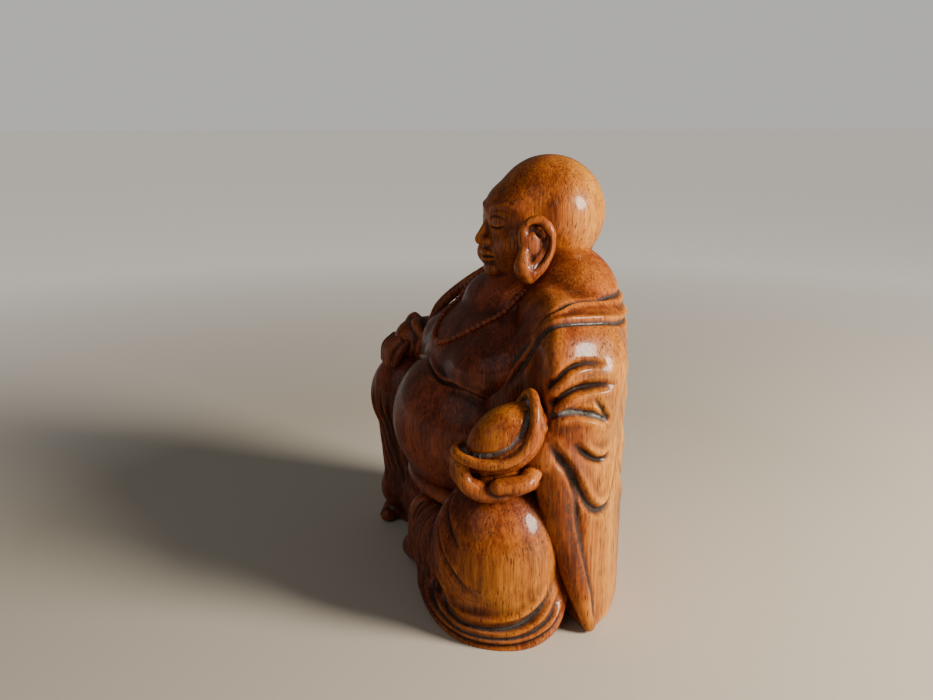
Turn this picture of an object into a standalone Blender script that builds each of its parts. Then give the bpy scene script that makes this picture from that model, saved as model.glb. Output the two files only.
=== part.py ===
"""Seated laughing-Buddha figure in stained wood, built as a joined-block carving.

The figure faces -Y, its own left hand is on +X and it sits on the plane Z = 0. Every block is roughed
out from balls and limbs, fused, smoothed and sawn flat at the base. The blocks are
pegged together with hidden dowels, and each one is cut back from its neighbours by the joint gap.

Places and radii are written in carver's units: 240 units make the whole height.
"""

import math

import bmesh
import bpy
from mathutils import Matrix, Vector
from mathutils.bvhtree import BVHTree

HEIGHT = 0.240  # the whole figure, base to crown
UNIT = HEIGHT / 240  # one carver's unit
JOINT_GAP = 0.00034  # left between two blocks that meet
DOWEL_PLAY = 0.00030  # between a dowel and the wall of its hole
VOXEL = 0.0021  # how finely a block is roughed out

HEAD_CENTRE = Vector((0, 23, 205.5))
EAR_X = 32
BELLY_CENTRE = Vector((0, -14, 91))
HIP_HEIGHT = 52
SLEEVE_HALF_WIDTH = 98  # plan of the robe: an ellipse of this half width
ROBE_HALF_DEPTH = 61.5  # and this half depth
HAND_X = 88
BEAD_ROPE_RADIUS = 1.9

STAIN_WARM = (0.36, 0.13, 0.035)
STAIN_DARK = (0.20, 0.06, 0.020)
STAIN_PALE = (0.52, 0.27, 0.090)


def clear_scene():
    """Removes what the scene holds before the figure is made."""
    for obj in list(bpy.data.objects):
        bpy.data.objects.remove(obj, do_unlink=True)


def new_collection(name, hidden=False):
    collection = bpy.data.collections.new(name)
    bpy.context.scene.collection.children.link(collection)
    collection.hide_render = hidden
    return collection


def stain(name, colour, roughness):
    """A stained and waxed wood."""
    material = bpy.data.materials.new(name)
    material.use_nodes = True
    shader = material.node_tree.nodes["Principled BSDF"]
    shader.inputs["Base Color"].default_value = (*colour, 1.0)
    shader.inputs["Roughness"].default_value = roughness
    shader.inputs["Metallic"].default_value = 0.0
    return material


class Block:
    """One block of the figure, roughed out from overlapping balls and limbs."""

    def __init__(self, name, material):
        self.name = name
        self.material = material
        self.bm = bmesh.new()

    def ball(self, centre, radii, turn=(0, 0, 0)):
        """An ellipsoid, turned by Euler angles in degrees."""
        place = Matrix.Translation(Vector(centre) * UNIT)
        for angle, axis in zip(turn, "XYZ"):
            place = place @ Matrix.Rotation(math.radians(angle), 4, axis)
        size = Matrix.Diagonal((*(r * UNIT for r in radii), 1))
        bmesh.ops.create_uvsphere(self.bm, u_segments=24, v_segments=16, radius=1, matrix=place @ size)
        return self

    def limb(self, start, end, start_radius, end_radius):
        """A tapered limb with round ends."""
        start, end = Vector(start) * UNIT, Vector(end) * UNIT
        along = end - start
        place = Matrix.Translation((start + end) / 2) @ along.to_track_quat("Z", "Y").to_matrix().to_4x4()
        bmesh.ops.create_cone(
            self.bm, cap_ends=True, segments=20, radius1=start_radius * UNIT, radius2=end_radius * UNIT,
            depth=along.length, matrix=place,
        )
        self.ball(start / UNIT, (start_radius,) * 3)
        self.ball(end / UNIT, (end_radius,) * 3)
        return self

    def chain(self, points, radii):
        """Limbs joined end to end."""
        for (a, b), (ra, rb) in zip(zip(points, points[1:]), zip(radii, radii[1:])):
            self.limb(a, b, ra, rb)
        return self

    def carve(self, faces, voxel=VOXEL, smoothing=6):
        """Fuses the shapes, smooths them and brings the mesh down to about this many triangles."""
        mesh = bpy.data.meshes.new(self.name)
        self.bm.to_mesh(mesh)
        self.bm.free()
        obj = bpy.data.objects.new(self.name, mesh)
        figure.objects.link(obj)
        fuse = obj.modifiers.new("fuse", "REMESH")
        fuse.mode = "VOXEL"
        fuse.voxel_size = voxel
        smooth = obj.modifiers.new("smooth", "SMOOTH")
        smooth.factor = 0.5
        smooth.iterations = smoothing
        settle(obj)
        thin = obj.modifiers.new("thin", "DECIMATE")
        thin.ratio = min(1.0, faces / (2 * len(obj.data.polygons)))
        thin.use_collapse_triangulate = True
        ease = obj.modifiers.new("ease", "SMOOTH")
        ease.factor = 0.5
        ease.iterations = 2
        settle(obj)
        obj.data.materials.clear()
        obj.data.materials.append(self.material)
        return obj


def settle(obj):
    """Makes the evaluated mesh the object's own, so that its modifiers are used up."""
    graph = bpy.context.evaluated_depsgraph_get()
    mesh = bpy.data.meshes.new_from_object(obj.evaluated_get(graph))
    obj.modifiers.clear()
    old, obj.data = obj.data, mesh
    mesh.name = obj.name
    bpy.data.meshes.remove(old)


def swollen(obj, by):
    """A cutter: a copy of the object grown outwards by this distance."""
    bpy.context.view_layer.update()
    mesh = obj.data.copy()
    normals = [v.normal.copy() for v in mesh.vertices]
    for vertex, normal in zip(mesh.vertices, normals):
        vertex.co += normal * by
    cutter = bpy.data.objects.new(obj.name + "_cutter", mesh)
    cutter.matrix_world = obj.matrix_world
    cutters.objects.link(cutter)
    cutter.hide_render = True
    cutter.display_type = "WIRE"
    return cutter


def cut(obj, cutter):
    """Takes the cutter away from the object."""
    difference = obj.modifiers.new("cut", "BOOLEAN")
    difference.operation = "DIFFERENCE"
    difference.object = cutter
    settle(obj)


def keep_largest_body(obj):
    """Drops the chips that a cut leaves beside the main body."""
    bm = bmesh.new()
    bm.from_mesh(obj.data)
    bodies, left = [], set(bm.verts)
    while left:
        body, edge = set(), [left.pop()]
        while edge:
            vertex = edge.pop()
            body.add(vertex)
            near = [e.other_vert(vertex) for e in vertex.link_edges]
            edge += [v for v in near if v in left]
            left.difference_update(near)
        bodies.append(body)
    bodies.sort(key=len)
    for chip in bodies[:-1]:
        bmesh.ops.delete(bm, geom=list(chip), context="VERTS")
    bm.to_mesh(obj.data)
    bm.free()


def ground_block():
    """A cutter for everything below the base plane."""
    size = 4 * HEIGHT
    bm = bmesh.new()
    bmesh.ops.create_cube(bm, size=size, matrix=Matrix.Translation((0, 0, -size / 2)))
    mesh = bpy.data.meshes.new("ground")
    bm.to_mesh(mesh)
    bm.free()
    block = bpy.data.objects.new("ground", mesh)
    cutters.objects.link(block)
    block.hide_render = True
    block.display_type = "WIRE"
    return block


def dowel(name, start, end, radius):
    """A round wooden peg from start to end."""
    start, end = Vector(start) * UNIT, Vector(end) * UNIT
    along = end - start
    bpy.ops.mesh.primitive_cylinder_add(
        vertices=12, radius=radius * UNIT, depth=along.length, location=(start + end) / 2,
        rotation=along.to_track_quat("Z", "Y").to_euler(),
    )
    peg = bpy.context.object
    peg.name = peg.data.name = name
    for collection in list(peg.users_collection):
        collection.objects.unlink(peg)
    figure.objects.link(peg)
    peg.data.materials.append(pale)
    return peg


def carve_head():
    """Skull, cheeks, jaw and long ears; a neck stub stands in the collar."""
    head = Block("head", warm)
    head.ball(HEAD_CENTRE, (31, 36.5, 34.5))
    head.ball((0, 6, 192), (26, 19, 22))
    head.ball((0, -11, 196), (5, 6, 8))
    head.limb((0, 22, 190), (0, 24, 166), 19, 19)
    for side in (-1, 1):
        head.chain(
            [(side * EAR_X, 14, 203), (side * (EAR_X + 1), 18, 194), (side * EAR_X, 9, 178)], [4, 4.5, 5]
        )
    return head.carve(900, smoothing=7)


def carve_torso():
    """The bare chest and round belly, with a trunk that runs down to the base."""
    torso = Block("torso", dark)
    torso.ball(BELLY_CENTRE, (52, 49, 46))
    torso.ball(BELLY_CENTRE + Vector((0, -2, -17)), (48, 42, 34))
    torso.ball((0, -13.7, 133.3), (50, 34, 22), turn=(40.5, 0, 0))
    torso.ball((0, 14, 138), (46, 26, 30))
    torso.limb((0, 20, 150), (0, 22, 166), 26, 22)
    torso.limb((0, 12, 60), (0, 12, 0), 34, 34)
    return torso.carve(560)


def carve_waistband():
    """The rolled top of the trousers, slung under the belly from hip to hip."""
    band = Block("waistband", dark)
    steps = 12
    angles = [math.radians(200 + 140 * i / steps) for i in range(steps + 1)]
    path = [(56 * math.cos(a), -2 + 46 * math.sin(a), HIP_HEIGHT - 3 * math.sin(a)) for a in angles]
    band.chain(path, [5.5] * len(path))
    return band.carve(320, voxel=0.0016, smoothing=3)


def carve_left_leg():
    """The folded leg: a great round knee in baggy trousers, the shin crossing to the middle."""
    leg = Block("left_leg", warm)
    leg.ball((67, -23.5, 42), (33, 33, 40.5))
    leg.ball((60, -26, 16), (40, 33, 26))
    leg.chain([(30, -47, 10), (54, -48, 8), (78, -40, 7), (89, -24, 7)], [10, 11, 12, 11])
    leg.chain([(60, -30, 26), (34, -38, 24), (14, -40, 26)], [26, 21, 19])
    leg.limb((34, 0, 46), (62, -18, 46), 24, 26)
    return leg.carve(560)


def carve_right_leg():
    """The raised leg: knee up under the right hand, shin down to the foot."""
    leg = Block("right_leg", dark)
    leg.chain([(-40, 2, 50), (-72, -30, 82)], [26, 24])
    leg.ball((-74, -36, 78), (24, 25, 26))
    leg.chain([(-74, -38, 70), (-70, -36, 36), (-68, -34, 6)], [23, 20, 20])
    leg.ball((-48, -26, 18), (30, 26, 22))
    return leg.carve(560)


def carve_left_foot():
    """The tucked foot, resting on its outer edge in the middle of the front."""
    foot = Block("left_foot", dark)
    foot.chain([(4, -45, 12), (-2, -47, 10), (-10, -49, 7)], [10, 9.5, 8])
    return foot.carve(240, voxel=0.0014)


def carve_right_foot():
    """The planted foot, toes forward."""
    foot = Block("right_foot", dark)
    foot.chain([(-68, -34, 12), (-68, -46, 9), (-69, -54, 6.5)], [13, 12, 9])
    foot.ball((-74, -53, 5), (7, 7, 6))
    return foot.carve(240, voxel=0.0014)


def robe_plan(block, heights, span, inset, radius):
    """A thick wall of cloth: upright limbs standing round the robe's plan ellipse."""
    low, high = heights
    steps = max(2, round(abs(span[1] - span[0]) / 9))
    for i in range(steps + 1):
        angle = math.radians(span[0] + (span[1] - span[0]) * i / steps)
        x = (SLEEVE_HALF_WIDTH - inset) * math.cos(angle)
        y = (ROBE_HALF_DEPTH - inset) * math.sin(angle)
        block.limb((x, y, low), (x, y, high), radius, radius)


def carve_robe_back():
    """The back of the robe from the hem to the collar, with the rolled collar over the shoulders."""
    robe = Block("robe_back", warm)
    robe_plan(robe, (-20, 148), (55, 125), 20, 20)
    robe.ball((0, 22, 80), (52, 34, 90))
    for side in (-1, 1):
        robe.ball((side * 28, 27, 150), (40, 32, 29))
    robe.ball((0, 32, 158), (34, 26, 25))
    return robe.carve(640, voxel=0.0026)


def carve_left_sleeve():
    """Shoulder, upper arm and forearm in a wide sleeve whose end hangs to the ground in a point."""
    sleeve = Block("left_sleeve", warm)
    sleeve.ball((60, 12, 138), (34, 32, 28))
    sleeve.chain([(70, 18, 140), (77, 24, 112), (82, 8, 104)], [22, 20, 16])
    sleeve.limb((82, 14, 100), (88, 2, 92), 13, 10)
    robe_plan(sleeve, (-12, 112), (24, 55), 15, 15)
    sleeve.chain([(86, 4, 84), (86, 14, 30), (86, 19, -12)], [11, 10, 9])
    return sleeve.carve(640)


def carve_right_sleeve():
    """The right arm, its forearm lying along the raised thigh to the knee."""
    sleeve = Block("right_sleeve", dark)
    sleeve.ball((-60, 12, 138), (34, 32, 28))
    sleeve.chain([(-70, 16, 138), (-80, 14, 116), (-76, -16, 116), (-74, -30, 119)], [22, 19, 17, 13])
    robe_plan(sleeve, (-12, 108), (125, 172), 15, 15)
    return sleeve.carve(640)


def carve_left_hand():
    """The palm up under the ingot, fingers curled round its front end, thumb along the outside."""
    hand = Block("left_hand", warm)
    hand.ball((HAND_X - 3, -20, 86), (12, 20, 7))
    hand.chain([(HAND_X - 3, 6, 92), (HAND_X - 3, -8, 88)], [9, 9])
    hand.chain([(HAND_X - 3, -30, 85), (HAND_X - 3, -41, 88), (HAND_X - 3, -46, 96)], [8, 6, 4.5])
    hand.chain([(HAND_X + 3, -6, 91), (HAND_X + 6, -18, 90)], [5, 4.5])
    return hand.carve(420, voxel=0.0014)


def carve_right_hand():
    """The hand laid over the raised knee, fingers down its front."""
    hand = Block("right_hand", dark)
    hand.chain([(-74, -28, 121), (-75, -41, 120), (-76, -51, 111)], [9, 9.5, 6])
    hand.ball((-75, -45, 116), (12.5, 11, 8), turn=(35, 0, 0))
    return hand.carve(360, voxel=0.0014)


def carve_ingot():
    """The boat-shaped ingot with a domed middle, tipped up to the rear."""
    ingot = Block("ingot", warm)
    ingot.ball((HAND_X - 4, -26, 104), (16, 26, 12), turn=(37, 0, -8))
    ingot.ball((HAND_X - 5, -26, 109), (12, 18, 13), turn=(37, 0, -8))
    return ingot.carve(360, voxel=0.0014)


def string_necklace(torso):
    """A rope of beads laid on the chest, followed round by rays cast at the torso."""
    graph = bpy.context.evaluated_depsgraph_get()
    skin = BVHTree.FromObject(torso, graph)
    steps = 28
    axis = Vector((0, -0.65, 0.76))
    across = Vector((1, 0, 0))
    up = axis.cross(across)
    if up.z < 0:
        up.negate()
    centre = Vector((0, -14, 154)) * UNIT
    points = []
    for i in range(steps):
        angle = 2 * math.pi * i / steps
        away = across * (25 * math.sin(angle)) + up * (24 * math.cos(angle))
        start = centre + away * UNIT + axis * 60 * UNIT
        found = skin.ray_cast(start, -axis)[0]
        if found is not None:
            points.append(found + axis * 0.4 * UNIT)
    data = bpy.data.curves.new("necklace", "CURVE")
    data.dimensions = "3D"
    data.bevel_depth = BEAD_ROPE_RADIUS * UNIT
    data.bevel_resolution = 1
    spline = data.splines.new("POLY")
    spline.points.add(len(points) - 1)
    for point, place in zip(spline.points, points):
        point.co = (*place, 1)
    spline.use_cyclic_u = True
    rope = bpy.data.objects.new("necklace", data)
    figure.objects.link(rope)
    data.materials.append(dark)
    return as_mesh(rope)


def as_mesh(curve):
    """Turns a curve object into a mesh object with closed caps."""
    graph = bpy.context.evaluated_depsgraph_get()
    mesh = bpy.data.meshes.new_from_object(curve.evaluated_get(graph))
    bm = bmesh.new()
    bm.from_mesh(mesh)
    bmesh.ops.remove_doubles(bm, verts=bm.verts, dist=0.00001)
    bm.to_mesh(mesh)
    bm.free()
    obj = bpy.data.objects.new(curve.name, mesh)
    name = curve.name
    obj.matrix_world = curve.matrix_world
    figure.objects.link(obj)
    bpy.data.objects.remove(curve)
    obj.name = name
    return obj


def drive_dowels():
    """The pegs that hold the blocks together."""
    return [
        dowel("neck_dowel", (0, 22, 142), (0, 22, 182), 7),
        dowel("left_shoulder_dowel", (30, 14, 132), (68, 16, 134), 4),
        dowel("right_shoulder_dowel", (-30, 14, 132), (-68, 16, 134), 4),
        dowel("upper_back_dowel", (0, 22, 118), (0, 50, 118), 4),
        dowel("lower_back_dowel", (0, 22, 40), (0, 50, 40), 4),
        dowel("left_hip_dowel", (14, 0, 30), (52, -14, 30), 4),
        dowel("right_hip_dowel", (-14, 0, 30), (-52, -14, 30), 4),
        dowel("left_wrist_dowel", (HAND_X - 3, -8, 90), (HAND_X - 4, 16, 97), 2.5),
        dowel("right_wrist_dowel", (-75, -42, 116), (-75, -16, 117), 2.5),
        dowel("ingot_dowel", (HAND_X - 4, -22, 83), (HAND_X - 5, -22, 101), 2),
        dowel("left_foot_dowel", (0, -45, 11), (26, -41, 14), 2.5),
        dowel("right_foot_dowel", (-68, -44, 9), (-62, -12, 14), 2.5),
    ]


def sit_on_origin(parts):
    """Moves the figure so that its box stands on Z = 0 with its middle over the origin."""
    bpy.context.view_layer.update()
    corners = [obj.matrix_world @ Vector(c) for obj in parts for c in obj.bound_box]
    low = [min(c[k] for c in corners) for k in range(3)]
    high = [max(c[k] for c in corners) for k in range(3)]
    shift = Vector((-(low[0] + high[0]) / 2, -(low[1] + high[1]) / 2, -low[2]))
    for obj in parts:
        obj.location += shift


def build_figure():
    """Carves the blocks, then cuts each one back from those that come before it in the list."""
    pegs = drive_dowels()
    torso = carve_torso()
    blocks = [
        carve_ingot(),
        carve_left_hand(),
        carve_right_hand(),
        carve_head(),
        string_necklace(torso),
        torso,
        carve_left_foot(),
        carve_right_foot(),
        carve_waistband(),
        carve_left_leg(),
        carve_right_leg(),
        carve_left_sleeve(),
        carve_right_sleeve(),
        carve_robe_back(),
    ]
    holes = [swollen_dowel(peg) for peg in pegs]
    room = [swollen(block, JOINT_GAP) for block in blocks]
    for i, block in enumerate(blocks):
        for cutter in room[:i] + holes:
            if near(block, cutter):
                cut(block, cutter)
        if near(block, ground):
            cut(block, ground)
        keep_largest_body(block)
    for block in blocks:
        block.data.shade_smooth()
    sit_on_origin(blocks + pegs)


def swollen_dowel(peg):
    """The hole for a dowel: wider and a little deeper than the peg itself."""
    settle(peg)
    return swollen(peg, DOWEL_PLAY * 1.5)


def near(a, b):
    """True where the boxes of two objects overlap."""
    bpy.context.view_layer.update()
    boxes = []
    for obj in (a, b):
        corners = [obj.matrix_world @ Vector(c) for c in obj.bound_box]
        boxes.append([(min(c[k] for c in corners), max(c[k] for c in corners)) for k in range(3)])
    return all(p[0] < q[1] and q[0] < p[1] for p, q in zip(*boxes))


clear_scene()
figure = new_collection("laughing_buddha")
cutters = new_collection("cutters", hidden=True)
warm = stain("warm_stain", STAIN_WARM, 0.38)
dark = stain("dark_stain", STAIN_DARK, 0.42)
pale = stain("bare_dowel_wood", STAIN_PALE, 0.70)
ground = ground_block()
build_figure()
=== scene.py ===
import math

import bmesh
import bpy
import numpy as np
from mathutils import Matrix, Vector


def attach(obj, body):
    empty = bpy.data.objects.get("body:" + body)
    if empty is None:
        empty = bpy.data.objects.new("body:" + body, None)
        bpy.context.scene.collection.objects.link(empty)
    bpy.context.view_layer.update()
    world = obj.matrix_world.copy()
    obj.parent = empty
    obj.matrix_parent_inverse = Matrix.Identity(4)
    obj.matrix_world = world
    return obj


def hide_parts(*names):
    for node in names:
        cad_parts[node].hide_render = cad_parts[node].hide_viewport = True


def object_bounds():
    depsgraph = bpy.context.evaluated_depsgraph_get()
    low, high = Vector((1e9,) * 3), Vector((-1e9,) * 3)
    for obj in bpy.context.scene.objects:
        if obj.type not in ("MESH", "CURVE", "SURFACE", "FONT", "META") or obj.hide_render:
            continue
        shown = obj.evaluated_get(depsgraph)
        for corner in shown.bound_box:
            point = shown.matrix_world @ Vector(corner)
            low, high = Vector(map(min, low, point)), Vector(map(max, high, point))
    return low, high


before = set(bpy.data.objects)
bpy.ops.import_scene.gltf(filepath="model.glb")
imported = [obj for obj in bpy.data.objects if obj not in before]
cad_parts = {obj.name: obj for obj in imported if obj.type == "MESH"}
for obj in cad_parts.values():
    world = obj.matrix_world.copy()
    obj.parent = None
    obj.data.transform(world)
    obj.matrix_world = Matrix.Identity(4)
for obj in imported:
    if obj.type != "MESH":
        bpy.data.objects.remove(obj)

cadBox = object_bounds()
# lengths below are in 240ths of the figure's height, which is close to millimetres
mm = (cadBox[1][2] - cadBox[0][2]) / 240


def smoothPath(points, count):
    # a smooth line through the points: between two of them a cubic whose slopes come from their neighbours
    p = np.asarray(points, float)
    if p.ndim == 1:
        p = p[:, None]
    t = np.linspace(0, len(p) - 1, count)
    i = np.minimum(t.astype(int), len(p) - 2)
    u = (t - i)[:, None]
    slope = np.gradient(p, axis=0)
    a, b, sa, sb = p[i], p[i + 1], slope[i], slope[i + 1]
    return (2*u**3 - 3*u**2 + 1)*a + (u**3 - 2*u**2 + u)*sa + (3*u**2 - 2*u**3)*b + (u**3 - u**2)*sb


def evened(line, times):
    # every inner point of the line goes half way to the middle of its two neighbours, again and again
    for _ in range(times):
        line = np.vstack([line[:1], 0.5*line[1:-1] + 0.25*(line[:-2] + line[2:]), line[-1:]])
    return line


def closedSkin(rows):
    # a grid of rings, each row one ring, with a point added in the middle of the first and the last ring
    r, c = rows.shape[:2]
    verts = np.vstack([rows.reshape(-1, 3), rows[0].mean(0), rows[-1].mean(0)])
    i, j = np.meshgrid(np.arange(r - 1), np.arange(c), indexing="ij")
    k = (j + 1) % c
    quads = np.stack([i*c + j, i*c + k, (i + 1)*c + k, (i + 1)*c + j], -1).reshape(-1, 4)
    j = np.arange(c)
    k = (j + 1) % c
    start = np.stack([np.full(c, r*c), k, j], -1)
    end = np.stack([np.full(c, r*c + 1), (r - 1)*c + j, (r - 1)*c + k], -1)
    return verts, quads.tolist() + start.tolist() + end.tolist()


def turned(points, turn):
    # the points turned about X, then Y, then Z by these degrees
    a, b, c = np.radians(turn)
    rx = np.array([[1, 0, 0], [0, math.cos(a), -math.sin(a)], [0, math.sin(a), math.cos(a)]])
    ry = np.array([[math.cos(b), 0, math.sin(b)], [0, 1, 0], [-math.sin(b), 0, math.cos(b)]])
    rz = np.array([[math.cos(c), -math.sin(c), 0], [math.sin(c), math.cos(c), 0], [0, 0, 1]])
    return points @ (rz @ ry @ rx).T


def ball(centre, radii, turn=(0, 0, 0), rings=24, spokes=36):
    # an ellipsoid: centre + radii times (cos u sin v, sin u sin v, -cos v)
    v = np.linspace(0, math.pi, rings + 2)[1:-1, None]
    u = np.linspace(0, 2*math.pi, spokes, endpoint=False)[None, :]
    unit = np.stack([np.cos(u)*np.sin(v), np.sin(u)*np.sin(v), -np.cos(v) + 0*u], -1)
    return closedSkin(turned(unit*np.asarray(radii, float), turn) + np.asarray(centre, float))


def limb(points, radii, flat=1.0, up=(0, 0, 1), steps=40, spokes=24):
    # a round profile carried along a smooth path, its radius eased between the given ones, with domed ends;
    # flat squeezes the profile across the path in the up direction
    path = smoothPath(points, steps)
    r = smoothPath(radii if np.ndim(radii) else [radii]*len(points), steps)[:, 0]
    along = np.gradient(path, axis=0)
    along /= np.linalg.norm(along, axis=1, keepdims=True)
    dome = np.radians([80, 60, 40, 20])
    path = np.vstack([path[0] - along[0]*r[0]*np.sin(dome)[:, None], path,
                      path[-1] + along[-1]*r[-1]*np.sin(dome[::-1])[:, None]])
    r = np.concatenate([r[0]*np.cos(dome), r, r[-1]*np.cos(dome[::-1])])
    along = np.vstack([np.repeat(along[:1], 4, 0), along, np.repeat(along[-1:], 4, 0)])
    side = np.cross(np.broadcast_to(up, along.shape), along)
    side /= np.linalg.norm(side, axis=1, keepdims=True)
    over = np.cross(along, side)
    u = np.linspace(0, 2*math.pi, spokes, endpoint=False)
    rows = path[:, None] + r[:, None, None]*(np.cos(u)[None, :, None]*side[:, None]
                                             + flat*np.sin(u)[None, :, None]*over[:, None])
    return closedSkin(rows)


def mirrored(skin):
    # the same skin on the figure's other side, its faces turned round to keep them pointing outwards
    verts, faces = skin
    return verts*np.array([-1, 1, 1]), [f[::-1] for f in faces]


def bothSides(*skins):
    return [s for skin in skins for s in (skin, mirrored(skin))]


class Carving:
    # one piece of wood: the masses are fused and eased into each other, the details are set on them, and the
    # whole is then cut with strokes drawn on its elevations
    def __init__(self, name, masses, details=(), soft=10, grain=0.9, ease=3):
        self.name = name
        if masses:
            verts, faces = self.fused(masses, 2.4*mm, soft)
            details = [(verts/mm, faces), *details]
        verts, faces = self.fused(details, grain*mm, 0)
        self.piece = bpy.data.objects.new(name, bpy.data.meshes.new(name))
        bpy.context.scene.collection.objects.link(self.piece)
        self.piece.data.from_pydata(verts.tolist(), [], faces)
        self.grain = grain
        self.measure()
        self.smooth(ease)

    def measure(self):
        # the mesh's vertices, edges and blank marks as arrays, in millimetres
        self.v = self.read("vertices", "co", 3)/mm
        edges = self.read("edges", "vertices", 2, np.int32)
        self.a, self.b = edges[:, 0], edges[:, 1]
        self.degree = np.bincount(self.a, minlength=len(self.v)) + np.bincount(self.b, minlength=len(self.v))
        self.stain = np.zeros(len(self.v))
        self.dust = np.zeros(len(self.v))
        self.rub = np.zeros(len(self.v))
        self.shade = np.zeros(len(self.v))

    def fused(self, skins, voxel, soft):
        # the skins remeshed to one body, its corners then eased by this many rounds of smoothing
        verts, faces, start = [], [], 0
        for v, f in skins:
            verts.append(v)
            faces += [[n + start for n in face] for face in f]
            start += len(v)
        mesh = bpy.data.meshes.new("rough")
        mesh.from_pydata((np.vstack(verts)*mm).tolist(), [], faces)
        rough = bpy.data.objects.new("rough", mesh)
        bpy.context.scene.collection.objects.link(rough)
        fuse = rough.modifiers.new("fuse", "REMESH")
        fuse.mode = "VOXEL"
        fuse.voxel_size = voxel
        if soft:
            easing = rough.modifiers.new("ease", "SMOOTH")
            easing.factor = 0.6
            easing.iterations = soft
        solid = rough.evaluated_get(bpy.context.evaluated_depsgraph_get()).to_mesh()
        co = np.empty(len(solid.vertices)*3, np.float32)
        solid.vertices.foreach_get("co", co)
        corners = np.empty(len(solid.loops), np.int32)
        solid.loops.foreach_get("vertex_index", corners)
        starts = np.empty(len(solid.polygons), np.int32)
        solid.polygons.foreach_get("loop_start", starts)
        loops = [list(map(int, part)) for part in np.split(corners, starts[1:])]
        bpy.data.objects.remove(rough)
        bpy.data.meshes.remove(mesh)
        return co.reshape(-1, 3).astype(float), loops

    def read(self, what, key, width, kind=np.float32):
        # one value of every vertex or edge, as rows of this width
        out = np.empty(len(getattr(self.piece.data, what))*width, kind)
        getattr(self.piece.data, what).foreach_get(key, out)
        return out.reshape(-1, width)

    def around(self, values):
        # the mean of each vertex's neighbours
        total = np.stack([np.bincount(self.a, values[self.b, k], len(self.v))
                          + np.bincount(self.b, values[self.a, k], len(self.v))
                          for k in range(values.shape[1])], -1)
        return total/np.maximum(self.degree, 1)[:, None]

    def smooth(self, times):
        # each vertex goes half way to the middle of its neighbours, then most of the way back, which keeps
        # the piece's size
        for _ in range(times):
            self.v = self.v + 0.5*(self.around(self.v) - self.v)
            self.v = self.v - 0.42*(self.around(self.v) - self.v)
        self.place()

    def place(self):
        self.piece.data.vertices.foreach_set("co", (self.v*mm).astype(np.float32).ravel())
        self.piece.data.update()
        self.n = self.read("vertices", "normal", 3)

    elevations = {"left": (1, 2, 0, 1), "right": (1, 2, 0, -1), "front": (0, 2, 1, -1),
                  "back": (0, 2, 1, 1), "top": (0, 1, 2, 1)}

    def cut(self, strokes):
        # the wood beside the drawn lines is divided finer, then the strokes are cut one by one
        lines = [self.drop(s.get("view", "near"), s["points"], 160) for s in strokes]
        near = np.zeros(len(self.v), bool)
        for (line, _), s in zip(lines, strokes):
            reach = 1.4*s.get("width", 2.0)
            if reach > 5.6:  # a broad fold needs no finer mesh
                continue
            here = np.flatnonzero(((self.v > line.min(0) - reach) & (self.v < line.max(0) + reach)).all(1))
            if len(here):
                far = np.linalg.norm(self.v[here][:, None] - line[None, ::2], axis=2).min(1)
                near[here[far < reach]] = True
        mesh = bmesh.new()
        mesh.from_mesh(self.piece.data)
        mesh.edges.ensure_lookup_table()
        both = np.flatnonzero(near[self.a] & near[self.b])
        bmesh.ops.subdivide_edges(mesh, edges=[mesh.edges[i] for i in both], cuts=1, use_grid_fill=True)
        mesh.to_mesh(self.piece.data)
        mesh.free()
        self.measure()
        self.smooth(2)
        for line, s in zip(lines, strokes):
            self.stroke(line, **{key: value for key, value in s.items() if key not in ("view", "points")})

    def drop(self, view, points, count):
        # the drawn line falls on to the outermost surface seen in that elevation, or on to the nearest wood
        line = smoothPath(points, count)
        if view == "near":
            far = ((self.v[None] - line[:, None])**2).sum(2)
            hit = far.argmin(1)
            n = evened(self.n[hit], 6)
            n /= np.linalg.norm(n, axis=1, keepdims=True)
            return evened(line - n*np.einsum("ij,ij->i", line - self.v[hit], n)[:, None], 12), n
        h, k, depth, sign = self.elevations[view]
        far = (self.v[None, :, h] - line[:, None, 0])**2 + (self.v[None, :, k] - line[:, None, 1])**2
        seen = (far < (1.7*self.grain)**2) & (sign*self.n[None, :, depth] > 0.05)
        score = np.where(seen, sign*self.v[None, :, depth], -1e6 - far)
        hit = score.argmax(1)
        return evened(self.v[hit], 20), self.n[hit]

    def stroke(self, drawn, depth=1.0, width=2.0, lip=0.0, fade=(0.25, 0.25), dust=0.0, stain=1.0,
               spread=1.0, rub=0.0, count=160):
        # a groove as deep as (1 - distance/width) to a power; lip raises the wood on one side of it, and its
        # sign says which
        line, normals = drawn
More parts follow.
